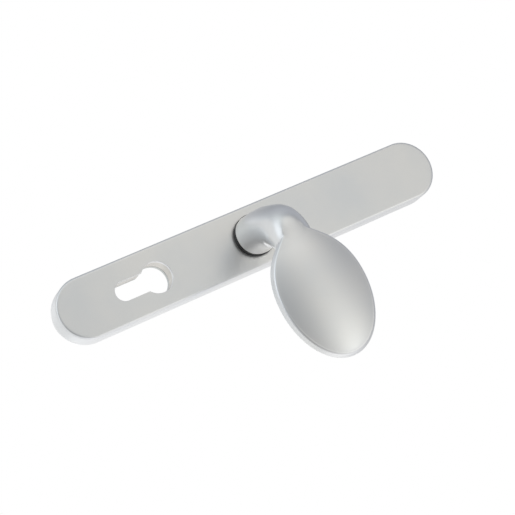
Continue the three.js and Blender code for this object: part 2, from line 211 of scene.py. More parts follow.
# %% A rolled or drawn metal with lines along it
def drawn_metal(name, dark, light, rough, line_mm, run_mm, bump_mm):
    """A metal with fine lines along Z, which fade in and out over run_mm."""
    material, tree, shader = new_material(name)
    shader.inputs["Metallic"].default_value = 1.0
    place = add(tree, "ShaderNodeTexCoord").outputs["Object"]
    stretch = add(tree, "ShaderNodeMapping", Vector=place, Scale=(1.0, 1.0, line_mm / run_mm))
    lines = noise(tree, stretch.outputs["Vector"], line_mm, Detail=3.0)
    tint = mix(tree, noise(tree, place, run_mm, Detail=2.0), dark, light)
    gloss = add(tree, "ShaderNodeMapRange", Value=lines, To_Min=rough - 0.08, To_Max=rough + 0.08)
    relief = add(tree, "ShaderNodeBump", Height=lines, Strength=0.3, Distance=bump_mm * MM)
    dress(tree, shader, tint, gloss, relief)
    return material


zinc_steel = drawn_metal(
    "bright_zinc_plated_steel", "#B9C2CC", "#D6D3C4", rough=0.34, line_mm=0.5, run_mm=18, bump_mm=0.01,
)
spring_steel = drawn_metal(
    "drawn_spring_steel", "#83878D", "#A2A5AA", rough=0.28, line_mm=0.3, run_mm=8, bump_mm=0.006,
)
print("drawn metals:", zinc_steel.name, spring_steel.name)

# %% [markdown]
# Acetal is a black, waxy engineering plastic. It is moulded in a lightly sparked tool,
# so its gloss is broken by a fine grain of about 0.4 mm.

# %% Black acetal
black_acetal, tree, shader = new_material("moulded_black_acetal")
place = add(tree, "ShaderNodeTexCoord").outputs["Object"]
SPARK_MM, SPARK_DEPTH_MM = 0.4, 0.01
spark = noise(tree, place, SPARK_MM, Detail=2.0)
tint = mix(tree, spark, "#060607", "#0E0E10")
gloss = add(tree, "ShaderNodeMapRange", Value=spark, To_Min=0.4, To_Max=0.55)
relief = add(tree, "ShaderNodeBump", Height=spark, Strength=0.3, Distance=SPARK_DEPTH_MM * MM)
shader.inputs["IOR"].default_value = 1.48
shader.inputs["Specular IOR Level"].default_value = 0.35
dress(tree, shader, tint, gloss, relief)
print("plastic:", black_acetal.name)

# %% [markdown]
# ## Drawing outlines
#
# Most pieces here start as a closed line in the plane of the plate. A small pen draws
# it: one vertex is extruded to draw a straight run and spun to draw an arc, just as a
# modeller would with the extrude and spin tools.

# %% The pen
UP_AXIS = (0, 1, 0)


class Pen:
    """Draws one closed loop of edges at a fixed distance out from the door face."""

    def __init__(self, bm, x, z, out):
        self.bm = bm
        self.old = set(bm.edges)
        self.first = bmesh.ops.create_vert(bm, co=(x, -out, z))["vert"][0]
        self.tip = self.first
        self.out = out

    def line(self, x, z):
        self.tip = bmesh.ops.extrude_vert_indiv(self.bm, verts=[self.tip])["verts"][0]
        self.tip.co = (x, -self.out, z)
        return self

    def arc(self, x, z, turn, steps):
        """Turns counterclockwise, as seen from the front, about the point x, z."""
        made = bmesh.ops.spin(
            self.bm, geom=[self.tip], cent=(x, -self.out, z), axis=UP_AXIS,
            angle=-radians(turn), steps=steps, use_duplicate=False,
        )
        self.tip = next(g for g in made["geom_last"] if isinstance(g, bmesh.types.BMVert))
        return self

    def close(self):
        """Joins the ends and returns the loop's edges."""
        if (self.tip.co - self.first.co).length < 1e-4:
            bmesh.ops.pointmerge(self.bm, verts=[self.tip, self.first], merge_co=self.first.co)
        else:
            bmesh.ops.contextual_create(self.bm, geom=[self.tip, self.first])
        return [e for e in self.bm.edges if e not in self.old]


ROUND_STEPS = 64


def stadium(bm, half, reach, out):
    """A round-ended outline, the plate's own shape."""
    straight = reach - half
    pen = Pen(bm, half, straight, out).arc(0, straight, 180, ROUND_STEPS)
    pen.line(-half, -straight).arc(0, -straight, 180, ROUND_STEPS)
    return pen.close()


def circle(bm, radius, out, x=0.0, z=0.0, steps=ROUND_STEPS):
    """A round outline."""
    return Pen(bm, x + radius, z, out).arc(x, z, 360, steps).close()


def cutout(bm, grow, out):
    """The euro-profile outline, grown all round by a clearance."""
    radius = CYLINDER_RADIUS + grow
    half = CYLINDER_SLOT / 2 + grow
    meet = degrees(asin(half / radius))
    low = CUTOUT_BOTTOM - grow + half
    shoulder = -CYLINDER_DISTANCE - radius * cos(radians(meet))
    pen = Pen(bm, half, shoulder, out).arc(0, -CYLINDER_DISTANCE, 360 - 2 * meet, 56)
    pen.line(-half, low).arc(0, low, 180, 32)
    return pen.close()


print("a stadium loop has", 2 * ROUND_STEPS + 2, "edges")

# %% [markdown]
# Two loops at different depths are joined by a bridge, which makes the wall between
# them. A flat face with holes is a triangle fill between its outer loop and the loops
# of its holes. Edges that a tool or a mould would leave rounded are bevelled last.

# %% Walls, faces and rounded edges
def bridge(bm, *loops):
    """Joins each loop to the next one with a wall."""
    for one, other in zip(loops, loops[1:]):
        bmesh.ops.bridge_loops(bm, edges=list(one) + list(other))


def fill(bm, *loops):
    """Fills the flat region between an outer loop and its holes."""
    edges = [e for loop in loops for e in loop]
    bmesh.ops.triangle_fill(bm, use_beauty=True, use_dissolve=False, edges=edges, normal=(0, -1, 0))


def soften(bm, edges, width, segments=3):
    """Rounds edges with a bevel."""
    bmesh.ops.bevel(
        bm, geom=list(edges), offset=width, offset_type="OFFSET", segments=segments,
        profile=0.5, affect="EDGES", material=-1, clamp_overlap=True,
    )


def corners(bm, limit=40):
    """The edges whose faces meet at more than a limit in degrees."""
    return [e for e in bm.edges if len(e.link_faces) == 2 and e.calc_face_angle(0) > radians(limit)]


def finish_piece(bm, name, body, material, slot, *nodes, smooth=32):
    """Cleans a mesh, brings it to metres and makes it a piece of the handle set."""
    bmesh.ops.remove_doubles(bm, verts=bm.verts[:], dist=0.002)
    bmesh.ops.dissolve_degenerate(bm, edges=bm.edges[:], dist=0.0005)
    bmesh.ops.recalc_face_normals(bm, faces=bm.faces[:])
    bmesh.ops.scale(bm, vec=(MM, MM, MM), verts=bm.verts[:])
    mesh = bpy.data.meshes.new(name)
    bm.to_mesh(mesh)
    open_edges = sum(1 for e in bm.edges if len(e.link_faces) != 2)
    bm.free()
    mesh.shade_smooth()
    mesh.set_sharp_from_angle(angle=radians(smooth))
    mesh.materials.append(material)
    piece = bpy.data.objects.new(name, mesh)
    bpy.context.scene.collection.objects.link(piece)
    even = piece.modifiers.new("even_shading", "WEIGHTED_NORMAL")
    even.keep_sharp = True
    even.weight = 80
    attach(piece, body)
    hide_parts(*nodes)
    print(name, len(mesh.polygons), "faces,", open_edges, "open edges")
    return piece


print("each piece will print its faces and its open edges")

# %% [markdown]
# ## The cover plate
#
# The cover is a shell, open towards the door. Its face carries the handle hole and the
# cut-out, and its front edge is rounded by a little over a millimetre, which draws a
# thin line of light or shade along the plate. Four bosses inside take the screws that
# hold the cover to the mounting plate.

# %% The cover plate
HOLE_RADIUS = SPIGOT_RADIUS + SEAT
POCKET_HALF = PLATE_HALF - PLATE_WALL
POCKET_REACH = PLATE_REACH - PLATE_WALL
POCKET_TOP = PLATE_DEPTH - PLATE_WALL
EDGE_ROUND, REAR_ROUND = 1.3, 0.25
LEDGE = 2.0
HOLE_EASE = 0.25
EASE_TURNS = (0, pi / 6, pi / 3, pi / 2)
COVER_SCREWS = [extent(f"cover_screw_{i}") for i in range(1, 5)]
BOSS_RADIUS, BOSS_BORE = 3.5, 1.8

bm = bmesh.new()
rear = stadium(bm, PLATE_HALF, PLATE_REACH, 0)
front = stadium(bm, PLATE_HALF, PLATE_REACH, PLATE_DEPTH)
ledge = stadium(bm, PLATE_HALF - LEDGE, PLATE_REACH - LEDGE, PLATE_DEPTH)
pocket_rear = stadium(bm, POCKET_HALF, POCKET_REACH, 0)
pocket_top = stadium(bm, POCKET_HALF, POCKET_REACH, POCKET_TOP)
bridge(bm, pocket_top, pocket_rear, rear, front, ledge)
face_holes, inner_holes = [], []
eased = [(HOLE_EASE * (1 - sin(t)), PLATE_DEPTH - HOLE_EASE * (1 - cos(t))) for t in EASE_TURNS]
hole_levels = eased + [(0, POCKET_TOP)]
cutout_loops = [cutout(bm, grow, out) for grow, out in hole_levels]
handle_loops = [circle(bm, HOLE_RADIUS + grow, out) for grow, out in hole_levels]
for loops in (cutout_loops, handle_loops):
    bridge(bm, *loops)
    face_holes.append(loops[0])
    inner_holes.append(loops[-1])
fill(bm, ledge, *face_holes)
fill(bm, pocket_top, *inner_holes)
soften(bm, front, EDGE_ROUND, 5)
soften(bm, [e for e in corners(bm, 60) if all(abs(v.co.y) < 0.01 for v in e.verts)], REAR_ROUND, 2)
for low, high in COVER_SCREWS:
    z = (low.z + high.z) / 2
    boss = [circle(bm, BOSS_RADIUS, out, 0, z, 24) for out in (POCKET_TOP + 0.5, MOUNT_DEPTH + SEAT)]
    bore = [circle(bm, BOSS_BORE, out, 0, z, 24) for out in (MOUNT_DEPTH + SEAT, -low.y + SEAT)]
    bridge(bm, *boss, *bore)
    for end in (boss[0], bore[1]):
        bmesh.ops.holes_fill(bm, edges=end, sides=0)
finish_piece(bm, "cover_shell", "backplate", satin_aluminium, "satin_aluminium", "cover_plate")

# %% [markdown]
# ## The pad handle
#
# Neck and pad are one casting: a round neck leaves the collar, leans over towards the pad
# and runs into its back, while the flat front of the pad fades away over the top of the
# bend. It could be two solids joined by a Boolean, but the joint would show as a seam on
# such a smooth form. Instead one ring of vertices is extruded from the collar to the tip
# and given its place at each step, so that the skin is unbroken and the rim of the pad is
# always on the same edges.

# %% The neck's path
# Each station: x, distance out, lean in degrees, half size across and through the bend.
BEND = PAD_FACE - 10
TONGUE_OUT = BEND + 7.5
NECK = [
    (0.0, NECK_START, 0, NECK_BASE, NECK_BASE),
    (0.1, NECK_START + 4, 2, 11.6, 11.5),
    (0.6, BEND - 27, 8, 11.5, 11.3),
    (2.0, BEND - 17.5, 18, 11.5, 11.3),
    (4.0, BEND - 10, 30, 11.6, 11.6),
    (6.2, BEND - 5, 45, 11.7, 12.2),
    (8.6, BEND - 1.5, 62, 11.8, 11.3),
    (11.8, BEND + 1, 76, 12.0, 9.8),
    (16.0, BEND + 3.4, 84, 11.5, 7.8),
    (23.0, BEND + 5, 87, 9.8, 5.4),
    (31.0, BEND + 6.2, 90, 7.0, 3.3),
    (40.0, BEND + 7.2, 90, 5.0, 1.6),
    (50.0, TONGUE_OUT, 90, 3.0, 1.0),
]


def along(table, place):
    """A row of a table at a place between its rows, on a smooth curve through them."""
    i = min(max(int(place), 0), len(table) - 2)
    t = place - i
    rows = [table[min(max(j, 0), len(table) - 1)] for j in (i - 1, i, i + 1, i + 2)]
    return [
        0.5 * (2 * b + (c - a) * t + (2 * a - 5 * b + 4 * c - d) * t * t + (3 * b - a - 3 * c + d) * t**3)
        for a, b, c, d in zip(*rows)
    ]


print("the neck is drawn through", len(NECK), "stations")

# %% The pad's outline
HALVINGS = 40
FLANK = [(12.0, 5.0), (17.0, 6.5), (21.5, PAD_HALF), (PAD_WIDEST, PAD_HALF)]


def flank(t):
    """A point of the pad's flank: a curve that swells out of the neck."""
    weights = [(1 - t) ** 3, 3 * t * (1 - t) ** 2, 3 * t * t * (1 - t), t**3]
    return [sum(w * p[k] for w, p in zip(weights, FLANK)) for k in (0, 1)]


def half_width(x):
    """Half the pad's width at a distance x from the spindle."""
    if x >= PAD_WIDEST:
        return PAD_HALF * max(0.0, 1 - ((x - PAD_WIDEST) / (PAD_TIP - PAD_WIDEST)) ** 2) ** 0.5
    low, high = 0.0, 1.0
    for _ in range(HALVINGS):
        middle = (low + high) / 2
        low, high = (middle, high) if flank(middle)[0] < x else (low, middle)
    return flank(low)[1]


def crown(x):
    """How far the front of the pad stands out of the plane of its rim, at mid width."""
    return PAD_CROWN * (half_width(x) / PAD_HALF) ** 1.5


widths = [round(2 * half_width(x), 1) for x in (20, PAD_WIDEST)]
print("the pad is", widths, "mm wide: near the neck, and at most")

# %% [markdown]
# A section of the pad is a ring of points: across the crowned front, round the rim, down
# the bulging edge, round the heel and across the back. Where a point would lie inside
# the neck it is pushed out to the neck's skin, and what stands out of the front face is
# pressed down into it, so neck and pad flow together. The rim is rounded by half a
# millimetre where it leaves the neck, and by nearly two along the rest of the pad.

# %% The columns of a ring
FRONT, CORNER, EDGE, BACK = 30, 9, 6, 36
NECK_RIM, RIM_ROUND = 0.5, 1.8
RIM_FROM, RIM_RUN = FLANK[0][0], 8.0
HEEL_ROUND = 0.7
EDGE_BULGE = 0.5
PAD_BACK = PAD_FACE - PAD_RIM
PAD_MIDDLE = PAD_FACE - PAD_RIM / 2

side_columns = [("rim", (i + 0.5) / CORNER) for i in range(CORNER)]
side_columns += [("edge", (i + 0.5) / EDGE) for i in range(EDGE)]
side_columns += [("heel", (i + 0.5) / CORNER) for i in range(CORNER)]
COLUMNS = [("front", 1, i / FRONT) for i in range(FRONT + 1)]
COLUMNS += [(part, -1, t) for part, t in side_columns]
COLUMNS += [("back", 1, i / BACK) for i in range(BACK + 1)]
COLUMNS += [(part, 1, t) for part, t in reversed(side_columns)]
print("a ring has", len(COLUMNS), "columns")


def section_point(column, x, half, rise, outward):
    """A place in the pad's section: across, distance out, and its shift along the pad."""
    part, side, t = column
    forward, sideways = outward
    rim = NECK_RIM + (RIM_ROUND - NECK_RIM) * min(max((x - RIM_FROM) / RIM_RUN, 0), 1)
    if part == "front":
        w = (1 - 2 * t) * (1.4 - 0.4 * (1 - 2 * t) ** 2)
        return w * (half - rim * sideways), PAD_FACE + rise * (1 - w * w), -rim * forward
    if part == "back":
        w = 2 * t - 1
        return w * abs(w) ** 0.5 * (half - HEEL_ROUND * sideways), PAD_BACK, -HEEL_ROUND * forward
    turn = t * pi / 2
    high, low = PAD_FACE - rim, PAD_BACK + HEEL_ROUND
    past, out = EDGE_BULGE * 4 * t * (1 - t), high + (low - high) * t
    if part == "rim":
        past, out = -rim * (1 - sin(turn)), PAD_FACE - rim * (1 - cos(turn))
    if part == "heel":
        past, out = -HEEL_ROUND * (1 - cos(turn)), PAD_BACK + HEEL_ROUND * (1 - sin(turn))
    return side * (half + past * sideways), out, past * forward


def soft_less(a, b, blend):
    """The lesser of two lengths, rounded where they cross."""
    h = max(blend - abs(a - b), 0) / blend
    return min(a, b) - h * h * blend / 4


# FULLNESS is how square the neck's section is, and 2 would be an ellipse. The pad begins
# inside the neck at PAD_FROM, as a slab THIN_PAD of its thickness, and is whole after
# PAD_RUN. The neck runs into the pad's front with a soft edge, which is crisp from SOFT_TO
# on. Rings that lean less than UPRIGHT, in radians, don't meet the front.
FULLNESS = 2.15
PAD_FROM, PAD_RUN = 6.0, 6.0
THIN_PAD = 0.35
CRISP, SOFT, SOFT_TO = 0.25, 2.6, 19.0
UPRIGHT = 0.2


def neck_reach(dz, dv, centre, across, through):
    """How many times (dz, dv) reaches from the centre to the neck's skin, if it is inside."""
    if abs(centre) >= through:
        return 0.0
    hit, far = 0.0, 2 * (across + through) / max((dz * dz + dv * dv) ** 0.5, 0.01)
    for _ in range(HALVINGS):
        middle = (hit + far) / 2
        filled = abs(dz * middle / across) ** FULLNESS + abs((centre + dv * middle) / through) ** FULLNESS
        hit, far = (middle, far) if filled < 1 else (hit, middle)
    return hit


def skin(station, column, half, rise, outward):
    """One vertex: the union of the neck and the pad in this ring."""
    x, out, lean, across, through = station
    lean = radians(lean)
    into_pad = min(max((x - PAD_FROM) / PAD_RUN, 0), 1)
    centre = into_pad * (PAD_MIDDLE - out)
    dz, pad_out, shift = section_point(column, x, half, rise, outward)
    dv = (pad_out - PAD_MIDDLE) * (THIN_PAD + (1 - THIN_PAD) * into_pad)
    grow = neck_reach(dz, dv, centre, across, through)
    if dv > 0 and lean > UPRIGHT:
        front = PAD_FACE + rise * (1 - min(1, (dz * grow / max(half, 1)) ** 2))
        lid = (front - out) / sin(lean) - centre
        blend = CRISP + SOFT * max(0.0, 1 - x / SOFT_TO)
        if lid > 0:
            grow = soft_less(grow, lid / dv, blend / (dz * dz + dv * dv) ** 0.5)
    scale = max(grow, 2 * into_pad - 1)
    v = centre + dv * scale
    # A point that the neck pushes out stays in its ring; the others follow the pad's outline.
    follow = min(max(1 - 4 * (scale - 1), 0), into_pad)
    return x - v * cos(lean) + shift * follow, -(out + v * sin(lean)), dz * scale


# %% Draw the handle's skin
def outward_at(x):
    """The direction out of the pad's outline, along and across."""
    if x >= PAD_WIDEST:
        turn = asin(min(1, (x - PAD_WIDEST) / (PAD_TIP - PAD_WIDEST)))
        normal = Vector((sin(turn) * PAD_HALF, cos(turn) * (PAD_TIP - PAD_WIDEST)))
    else:
        normal = Vector((half_width(x) - half_width(x + 0.5), 0.5))
    return normal.normalized()


def extrude_ring(bm, ring):
    """Extrudes a ring of vertices and returns the new ring in the same order."""
    edges = {e for a, b in zip(ring, ring[1:] + ring[:1]) for e in a.link_edges if e.other_vert(a) == b}
    made = bmesh.ops.extrude_edge_only(bm, edges=list(edges))
    fresh = {g for g in made["geom"] if isinstance(g, bmesh.types.BMVert)}
    return [next(e.other_vert(v) for e in v.link_edges if e.other_vert(v) in fresh) for v in ring]


def place_ring(ring, station):
    """Gives a ring its place at a station."""
    x = station[0]
    at = max(x, FLANK[0][0])
    half, rise, outward = half_width(at), crown(at), outward_at(at)
    for vert, column in zip(ring, COLUMNS):
        vert.co = skin(station, column, half, rise, outward)


NECK_STEPS, TIP_STEPS = 12, 60
bm = bmesh.new()
ring = bmesh.ops.create_circle(bm, segments=len(COLUMNS), radius=1.0)["verts"]
ring = sorted(ring, key=lambda v: atan2(v.co.y, v.co.x))
last_neck = len(NECK) - 1
places = [i / NECK_STEPS for i in range(NECK_STEPS * last_neck + 1)]
stations = [along(NECK, p) for p in places]
tip_turns = [pi / 2 * i / TIP_STEPS for i in range(1, TIP_STEPS + 1)]
tip = [PAD_WIDEST + (PAD_TIP - PAD_WIDEST) * sin(t) for t in tip_turns]
stations = [s for s in stations if s[0] < PAD_WIDEST]
stations += [(x, TONGUE_OUT, 90, 0.5, 0.5) for x in [PAD_WIDEST] + tip]
neck_root = ring
place_ring(ring, stations[0])
for station in stations[1:]:
    ring = extrude_ring(bm, ring)
    place_ring(ring, station)
print("the skin has", len(stations), "rings")

# %% [markdown]
# Below the neck the same casting is turned: a journal that runs in the collar, a tenon
# with two flats that drives the spring, and a tail with a groove for a retaining ring.
# The square socket and the tapped hole are cut last, with Booleans, because their walls
# cross the round ones.

# %% The turned end of the handle
ring_low, ring_high = extent("retaining_ring")
GROOVE = (-ring_low.y + SEAT, -ring_high.y - SEAT)
TENON_FRONT, TENON_BACK = 9.6, 4.3
TENON_FLAT = 8.5
FLATTENED = (3, 4)
GROOVE_RADIUS = TAIL_RADIUS - 0.9
BREAK = 0.4
turned = [
    (NECK_BASE - BREAK, NECK_START), (JOURNAL_RADIUS, NECK_START), (JOURNAL_RADIUS, TENON_FRONT),
    (JOURNAL_RADIUS, TENON_FRONT), (JOURNAL_RADIUS, TENON_BACK), (TAIL_RADIUS, TENON_BACK),
    (TAIL_RADIUS, GROOVE[0]), (GROOVE_RADIUS, GROOVE[0]), (GROOVE_RADIUS, GROOVE[1]),
    (TAIL_RADIUS, GROOVE[1]), (TAIL_RADIUS, TAIL_END + BREAK), (TAIL_RADIUS - BREAK, TAIL_END),
]
directions = [Vector((v.co.x, v.co.z)).normalized() for v in neck_root]
for vert, way in zip(neck_root, directions):
    vert.co = (way.x * NECK_BASE, -NECK_START - BREAK, way.y * NECK_BASE)
ring = neck_root
for i, (radius, out) in enumerate(turned):
    ring = extrude_ring(bm, ring)
    for vert, way in zip(ring, directions):
        z = way.y * radius
        if i in FLATTENED:
            z = min(max(z, -TENON_FLAT), TENON_FLAT)
        vert.co = (way.x * radius, -out, z)
end_loop = [e for e in bm.edges if e.is_boundary and all(v in ring for v in e.verts)]
bmesh.ops.edgeloop_fill(bm, edges=end_loop)
print("turned end down to", round(TAIL_END, 2), "mm")


# %% Cutting with a Boolean
def cut(target, cutters):
    """Cuts bmesh shapes, given in millimetres, out of a finished piece."""
    for shape in cutters:
        bmesh.ops.recalc_face_normals(shape, faces=shape.faces[:])
        bmesh.ops.scale(shape, vec=(MM, MM, MM), verts=shape.verts[:])
        mesh = bpy.data.meshes.new("cutter")
        shape.to_mesh(mesh)
        shape.free()
        cutter = bpy.data.objects.new("cutter", mesh)
        bpy.context.scene.collection.objects.link(cutter)
        boolean = target.modifiers.new("cut", "BOOLEAN")
        boolean.operation = "DIFFERENCE"
        boolean.solver = "EXACT"
        boolean.object = cutter
        while target.modifiers[0] != boolean:
            target.modifiers.move(target.modifiers.find(boolean.name), 0)
        kept = [m for m in target.modifiers if m != boolean]
        for modifier in kept:
            modifier.show_viewport = False
        evaluated = target.evaluated_get(bpy.context.evaluated_depsgraph_get())
        result = bpy.data.meshes.new_from_object(evaluated)
        target.modifiers.remove(boolean)
        for modifier in kept:
            modifier.show_viewport = True
        target.data = result
        bpy.data.objects.remove(cutter)
    target.data.set_sharp_from_angle(angle=radians(32))
    return len(target.data.polygons)


def block(size, centre):
    """A box to cut with: its sizes and its middle, as x, y and z."""
    shape = bmesh.new()
    bmesh.ops.create_cube(shape, size=1.0)
    bmesh.ops.scale(shape, vec=size, verts=shape.verts[:])
    bmesh.ops.translate(shape, vec=centre, verts=shape.verts[:])
    return shape


def rod(radius, start, end, x=0.0, z=0.0, steps=48, axis="Y"):
    """A round bar to cut with. Along Y it runs between two distances out."""
    shape = bmesh.new()
    bmesh.ops.create_cone(
        shape, cap_ends=True, segments=steps, radius1=radius, radius2=radius, depth=abs(end - start),
    )
    middle = (start + end) / 2
    if axis == "Y":
        bmesh.ops.rotate(shape, cent=(0, 0, 0), matrix=Matrix.Rotation(pi / 2, 3, "X"), verts=shape.verts[:])
        bmesh.ops.translate(shape, vec=(x, -middle, z), verts=shape.verts[:])
    else:
        bmesh.ops.translate(shape, vec=(x, z, middle), verts=shape.verts[:])
    return shape


SOCKET = 2 * (SPINDLE_HALF + SEAT)
SOCKET_END = 28.0
GRUB_HEIGHT = 23.0
GRUB_HOLE = 2.6
handle = finish_piece(bm, "neck_and_pad", "handle", satin_aluminium, "satin_aluminium", "pad_handle")
middle = (TAIL_END - 1 + SOCKET_END) / 2
faces = cut(handle, [
    block((SOCKET, SOCKET_END - TAIL_END + 1, SOCKET), (0, -middle, 0)),
    rod(GRUB_HOLE, 2.0, NECK_BASE + 3, 0, -GRUB_HEIGHT, 40, "Z"),
])
print("with its socket and tapped hole the handle has", faces, "faces")

# %% [markdown]
# ## The collar
#
# The collar is turned or moulded black acetal: a flange that stands on the plate's face
# and a spigot that goes down through it. A turned part is drawn as half of its section
# and spun once round its axis.

# %% Turned parts
def turn(bm, profile, x=0.0, z=0.0, steps=96):
    """Spins a section, given as (radius, distance out) points, about an axis along Y."""
    first = bmesh.ops.create_vert(bm, co=(x + profile[0][0], -profile[0][1], z))["vert"][0]
    chain, tip = [first], first
    for radius, out in profile[1:]:
        tip = bmesh.ops.extrude_vert_indiv(bm, verts=[tip])["verts"][0]
        tip.co = (x + radius, -out, z)
        chain.append(tip)
    lines = {e for v in chain for e in v.link_edges}
    bmesh.ops.spin(
        bm, geom=chain + list(lines), cent=(x, 0, z), axis=UP_AXIS, angle=2 * pi,
        steps=steps, use_merge=True, use_duplicate=False,
    )


def rounded(radius, out, inward, along_axis, size, steps=3):
    """Points of a small rounded corner of a section, from one side of it to the other."""
    points = []
    for i in range(steps + 1):
        t = pi / 2 * i / steps
        points.append((radius + inward * size * (1 - sin(t)), out + along_axis * size * (1 - cos(t))))
    return points


BORE = JOURNAL_RADIUS + 0.25
SPIGOT_END = 9.6
FLANGE_BACK = PLATE_DEPTH + SEAT
bm = bmesh.new()
section = [(BORE, SPIGOT_END + 0.3), (BORE + 0.3, SPIGOT_END), (SPIGOT_RADIUS - 0.3, SPIGOT_END)]
section += [(SPIGOT_RADIUS, SPIGOT_END + 0.3), (SPIGOT_RADIUS, FLANGE_BACK)]
section += [(COLLAR_RADIUS - 0.1, FLANGE_BACK), (COLLAR_RADIUS, FLANGE_BACK + 0.1)]
section += [(r, o) for r, o in reversed(rounded(COLLAR_RADIUS, COLLAR_TOP, -1, -1, 0.4))]
section += [(BORE + 0.3, COLLAR_TOP), (BORE, COLLAR_TOP - 0.3), section[0]]
turn(bm, section)
finish_piece(bm, "collar", "backplate", black_acetal, "black_acetal", "collar_bush")

# %% [markdown]
# ## Behind the cover
#
# The mounting plate is stamped from 2.5 mm steel and zinc plated. Its screws are
# countersunk from behind, so each hole is a cone first and a straight hole after it: a
# loop at each depth, bridged from one to the next.

# %% The mounting plate
SCREW_KINDS = ("cover_screw", "guard_screw", "housing_screw")
SCREW_NODES = [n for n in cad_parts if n.startswith(SCREW_KINDS)]
SCREW_RADIUS, HEAD_RADIUS, HEAD_DEPTH = 1.5, 2.8, 1.4


def middle_of(node):
    """The middle of a node's box across and up the plate, and its depth range."""
    low, high = extent(node)
    return (low.x + high.x) / 2, (low.z + high.z) / 2, -high.y, -low.y


POST_PLACES = [middle_of("upper_fixing_post")[1], middle_of("lower_fixing_post")[1]]
EASE = 0.2
TAIL_ROOM, POST_HOLE = 2.6, 4.3
SINK = [(3.1, 0), (1.8, 1.7), (1.8, MOUNT_DEPTH)]
bm = bmesh.new()
half, reach = mount_high.x, mount_high.z
levels = [(EASE, 0), (0, EASE), (0, MOUNT_DEPTH - EASE), (EASE, MOUNT_DEPTH)]
outer = [stadium(bm, half - inset, reach - inset, out) for inset, out in levels]
bridge(bm, *outer)
rear_holes, front_holes = [], []
openings = [lambda out: cutout(bm, SEAT, out), lambda out: circle(bm, TAIL_RADIUS + TAIL_ROOM, out)]
openings += [lambda out, z=z: circle(bm, POST_HOLE, out, 0, z, 40) for z in POST_PLACES]
for opening in openings:
    rear_hole, front_hole = opening(0), opening(MOUNT_DEPTH)
    bridge(bm, rear_hole, front_hole)
    rear_holes.append(rear_hole)
    front_holes.append(front_hole)
for node in SCREW_NODES:
    x, z = middle_of(node)[:2]
    sink = [circle(bm, r, out, x, z, 32) for r, out in SINK]
    bridge(bm, *sink)
    rear_holes.append(sink[0])
    front_holes.append(sink[-1])
fill(bm, outer[0], *rear_holes)
fill(bm, outer[-1], *front_holes)
finish_piece(bm, "stamped_plate", "backplate", zinc_steel, "zinc_steel", "mounting_plate")

# %% [markdown]
# A screw's thread is a helix, but at 3 mm across its slope can't be seen, so the thread is
# drawn as plain rings in the section. The drive is a hexagon: the end face is left open
# at a circle, a hexagon is drawn inside it, and the two are filled and bridged inwards.

# %% Screws
def thread(radius, start, end, pitch, depth):
    """Section points of a ridged shank from one distance out to another."""
    points, out, step = [], start, pitch if end > start else -pitch
    while (end - out) * step > 0 and abs(end - out) > abs(step):
        points += [(radius - depth, out), (radius, out + step / 2)]
        out += step
    return points + [(radius - depth, out)]


def hexagon(bm, size, out, x, z):
    """A hexagonal loop, its corners at a distance from the middle."""
    return Pen(bm, x + size, z, out).arc(x, z, 360, 6).close()


def drive(bm, rim, face_out, floor_out, size, x, z):
    """A hexagonal recess in a flat end that is open inside a round rim."""
    mouth = hexagon(bm, size, face_out, x, z)
    floor_loop = hexagon(bm, size, floor_out, x, z)
    fill(bm, rim, mouth)
    bridge(bm, mouth, floor_loop)
    bmesh.ops.holes_fill(bm, edges=floor_loop, sides=0)


def open_rim(bm, radius, out, x, z):
    """The edges of an open round end."""
    def on_rim(v):
        return abs(v.co.y + out) < 1e-3 and abs(Vector((v.co.x - x, v.co.z - z)).length - radius) < 1e-3

    return [e for e in bm.edges if e.is_boundary and all(on_rim(v) for v in e.verts)]


RIM_RADIUS, DRIVE_SIZE, DRIVE_DEPTH = 2.0, 1.2, 0.75
THREAD_PITCH, THREAD_DEPTH = 0.6, 0.22
for node in SCREW_NODES:
    x, z, back, tip_out = middle_of(node)
    bm = bmesh.new()
    section = [(RIM_RADIUS, back), (HEAD_RADIUS - 0.15, back), (HEAD_RADIUS, back + 0.12)]
    section += [(SCREW_RADIUS, HEAD_DEPTH)]
    section += thread(SCREW_RADIUS, HEAD_DEPTH + 0.2, tip_out - 0.6, THREAD_PITCH, THREAD_DEPTH)
    section += [(0.7, tip_out), (0.0, tip_out)]
    turn(bm, section, x, z, 32)
    bmesh.ops.remove_doubles(bm, verts=bm.verts[:], dist=0.002)
    drive(bm, open_rim(bm, RIM_RADIUS, back, x, z), back, back + DRIVE_DEPTH, DRIVE_SIZE, x, z)
    finish_piece(bm, "countersunk_" + node, "backplate", zinc_steel, "zinc_steel", node)

# %% Fixing posts
POST_HEAD, POST_BODY, POST_BORE = 5.5, 4.0, 2.1
for node in ("upper_fixing_post", "lower_fixing_post"):
    x, z, back, front = middle_of(node)
    bm = bmesh.new()
    section = [(0.0, front), (POST_HEAD - 0.4, front), (POST_HEAD, front - 0.4)]
    section += [(POST_HEAD, MOUNT_DEPTH + SEAT), (POST_BODY, MOUNT_DEPTH + SEAT)]
    section += [(POST_BODY, back + 0.5), (POST_BODY - 0.5, back)]
    section += [(POST_BORE + 0.35, back), (POST_BORE, back + 0.35)]
    section += thread(POST_BORE, back + 0.6, -0.6, 0.7, -0.25) + [(POST_BORE, 0.0), (0.0, 0.0)]
    turn(bm, section, x, z, 48)
    finish_piece(bm, "threaded_" + node, "backplate", zinc_steel, "zinc_steel", node)

# %% [markdown]
# The spindle is cold-drawn 8 mm square bar, with its edges just broken and its ends
# chamfered so that it finds the lock's follower. The grub screw bears on one of its flats.

